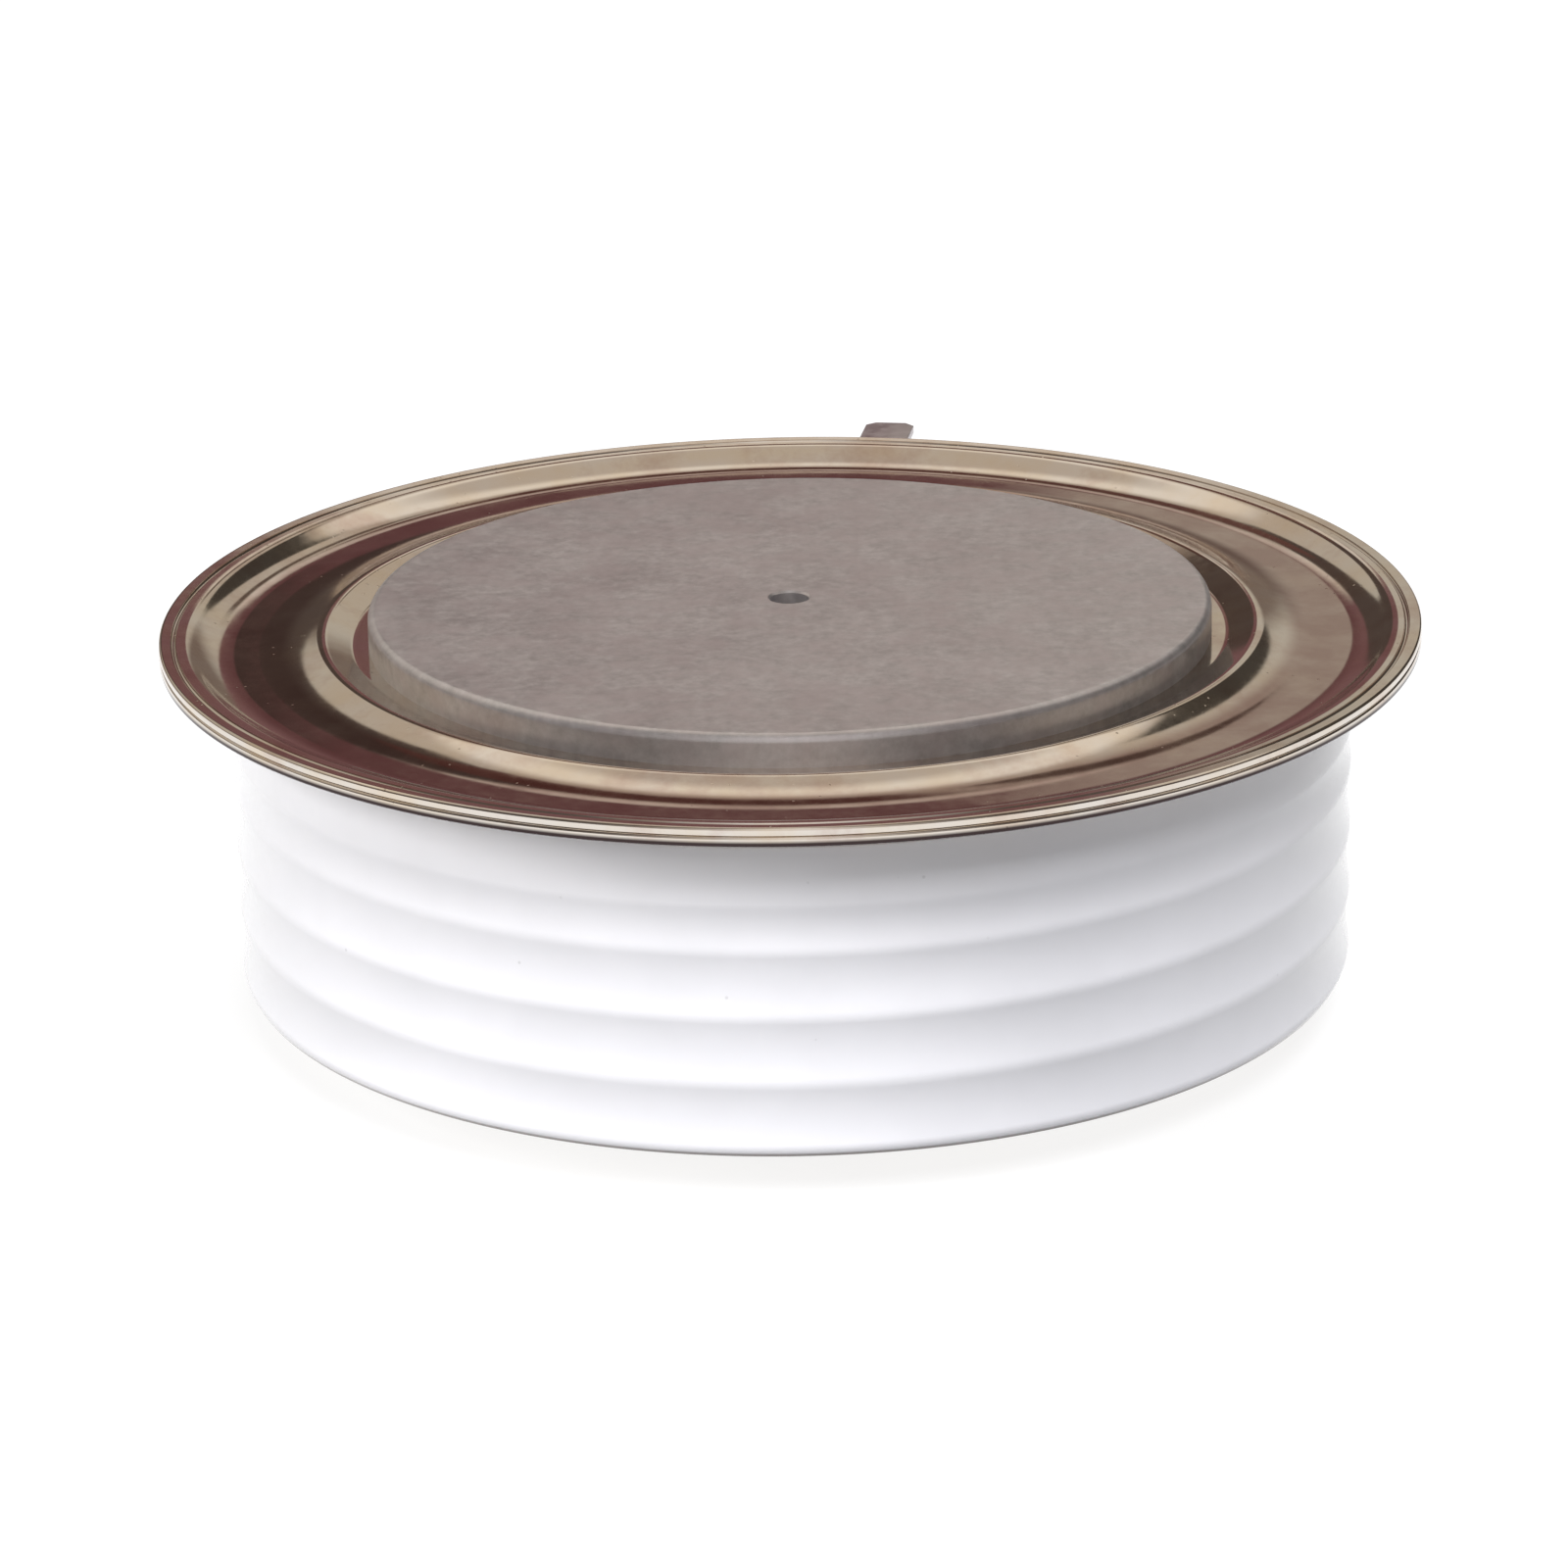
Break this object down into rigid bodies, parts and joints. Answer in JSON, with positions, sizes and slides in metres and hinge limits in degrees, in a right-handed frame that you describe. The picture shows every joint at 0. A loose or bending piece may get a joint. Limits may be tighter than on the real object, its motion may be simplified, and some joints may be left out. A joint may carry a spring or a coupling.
{
  "type": "disc thyristor",
  "caption": "Press-pack power thyristor: a ribbed ceramic capsule with copper contact faces above and below and blade terminals for the gate and the auxiliary cathode.",
  "frame": {"origin": "centre of the lower (anode) contact face, in the mouth of its locating hole", "axes": "+Z from the anode face to the cathode face; +Y towards the two blade terminals, which lie 9 degrees either side of it"},
  "size_m": [0.112, 0.1223, 0.037],
  "materials": {
    "matte_nickel": "satin nickel plate on copper",
    "bright_nickel": "bright nickel plate",
    "terminal_nickel": "dull nickel plate",
    "glazed_ceramic": "glossy white glaze",
    "molybdenum": "lapped",
    "silicon": "metallised silicon",
    "silicone_rubber": "soft, translucent white",
    "insulation": "white fluoropolymer",
    "spring_steel": "drawn wire"
  },
  "bodies": {
    "root": {"cathode_pole": "matte_nickel", "lid_flange": "bright_nickel", "weld_ring": "bright_nickel", "ceramic_ring": "glazed_ceramic", "anode_flange": "bright_nickel", "anode_pole": "matte_nickel", "cathode_strain_disc": "molybdenum", "silicon_wafer": "silicon", "edge_rubber": "silicone_rubber", "anode_strain_disc": "molybdenum", "locating_ring": "insulation", "gate_sleeve": "insulation", "gate_spring": "spring_steel", "gate_pin": "bright_nickel", "gate_bush": "insulation", "gate_lead": "bright_nickel", "lead_sleeve": "insulation", "gate_tube": "terminal_nickel", "gate_tab": "terminal_nickel", "cathode_tab": "terminal_nickel"}
  },
  "joints": []
}
